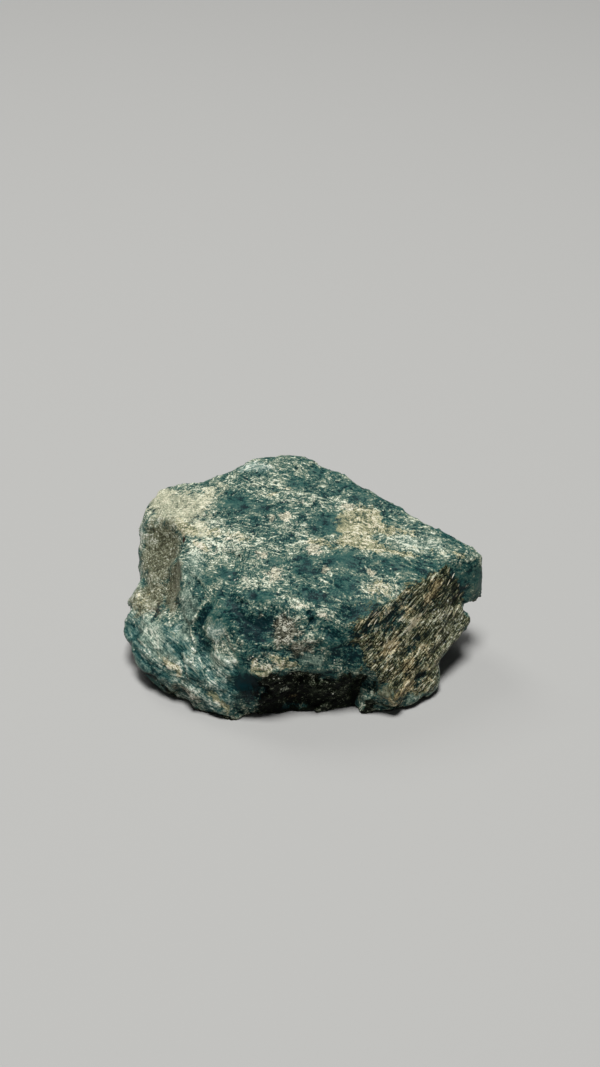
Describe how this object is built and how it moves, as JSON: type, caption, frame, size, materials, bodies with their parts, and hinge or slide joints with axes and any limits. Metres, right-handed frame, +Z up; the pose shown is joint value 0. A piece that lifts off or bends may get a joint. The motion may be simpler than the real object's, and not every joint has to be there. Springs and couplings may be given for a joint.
{
  "type": "rough apatite stone",
  "caption": "Rough broken lump of massive teal-blue apatite with a gently tilted top, a fibrous right face, an undercut front and a flat base to rest on.",
  "frame": {"origin": "middle of the flat base, under the centre of the stone's box", "axes": "+Z up, +X along the stone's longest extent towards the overhanging tip, -Y towards the undercut front"},
  "size_m": [0.066, 0.0454, 0.0278],
  "materials": {
    "apatite": "waxy broken surface, dark teal mottled with grey-white and cream"
  },
  "bodies": {
    "root": {"apatite_crystal": "apatite"}
  },
  "joints": []
}
